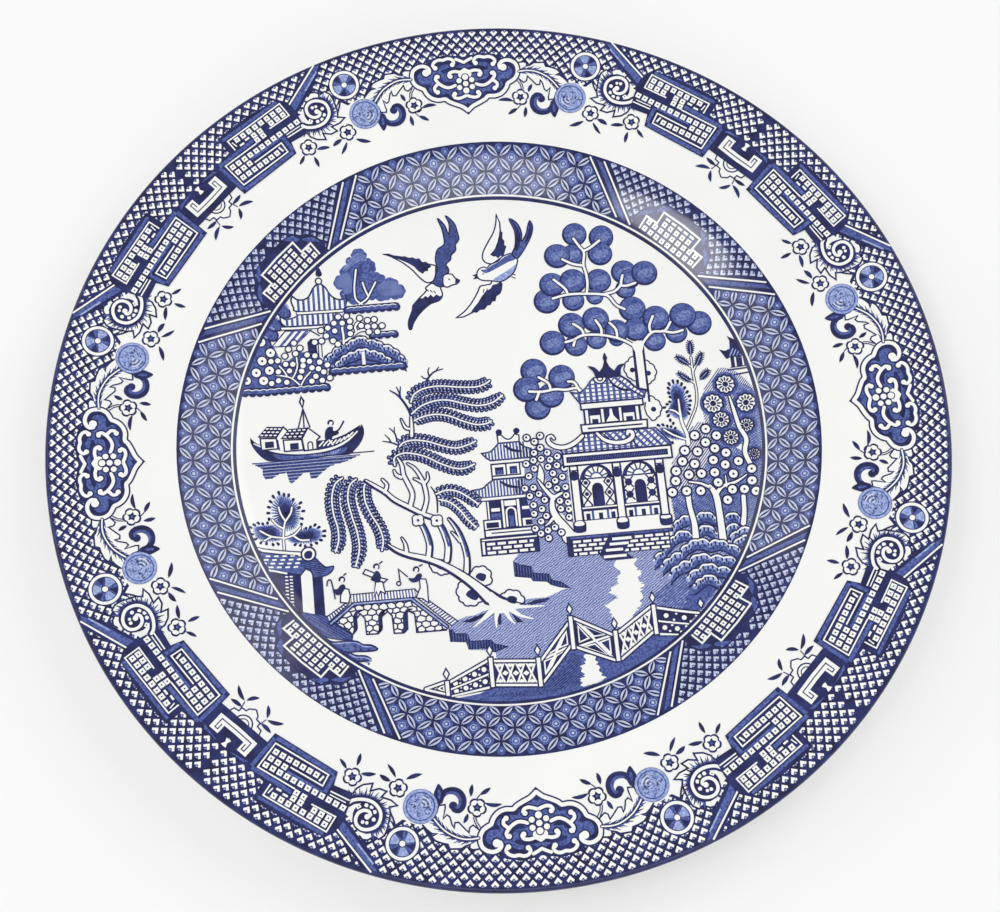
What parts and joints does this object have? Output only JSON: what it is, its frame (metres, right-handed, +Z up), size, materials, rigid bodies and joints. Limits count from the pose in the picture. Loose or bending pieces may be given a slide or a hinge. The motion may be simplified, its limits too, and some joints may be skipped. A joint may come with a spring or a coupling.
{
  "type": "dinner plate",
  "caption": "Round china dinner plate with a dished well, a broad printed rim and a foot ring, under a clear glaze.",
  "frame": {"origin": "on the table under the middle of the foot ring", "axes": "+Z up, out of the well; +X to the right and +Y to the top of the printed picture"},
  "size_m": [0.26, 0.26, 0.0205],
  "materials": {
    "biscuit": "matt fired body, bare only on the ring that it stands on",
    "glaze": "clear gloss glaze over an off-white body",
    "cobalt_print": "cobalt blue print sealed under the gloss glaze"
  },
  "bodies": {
    "root": {"body": "biscuit", "glaze_coat": "glaze", "glaze_recess": "glaze", "picture_print": "cobalt_print", "band_print": "cobalt_print", "border_print": "cobalt_print", "edge_line": "cobalt_print"}
  },
  "joints": []
}
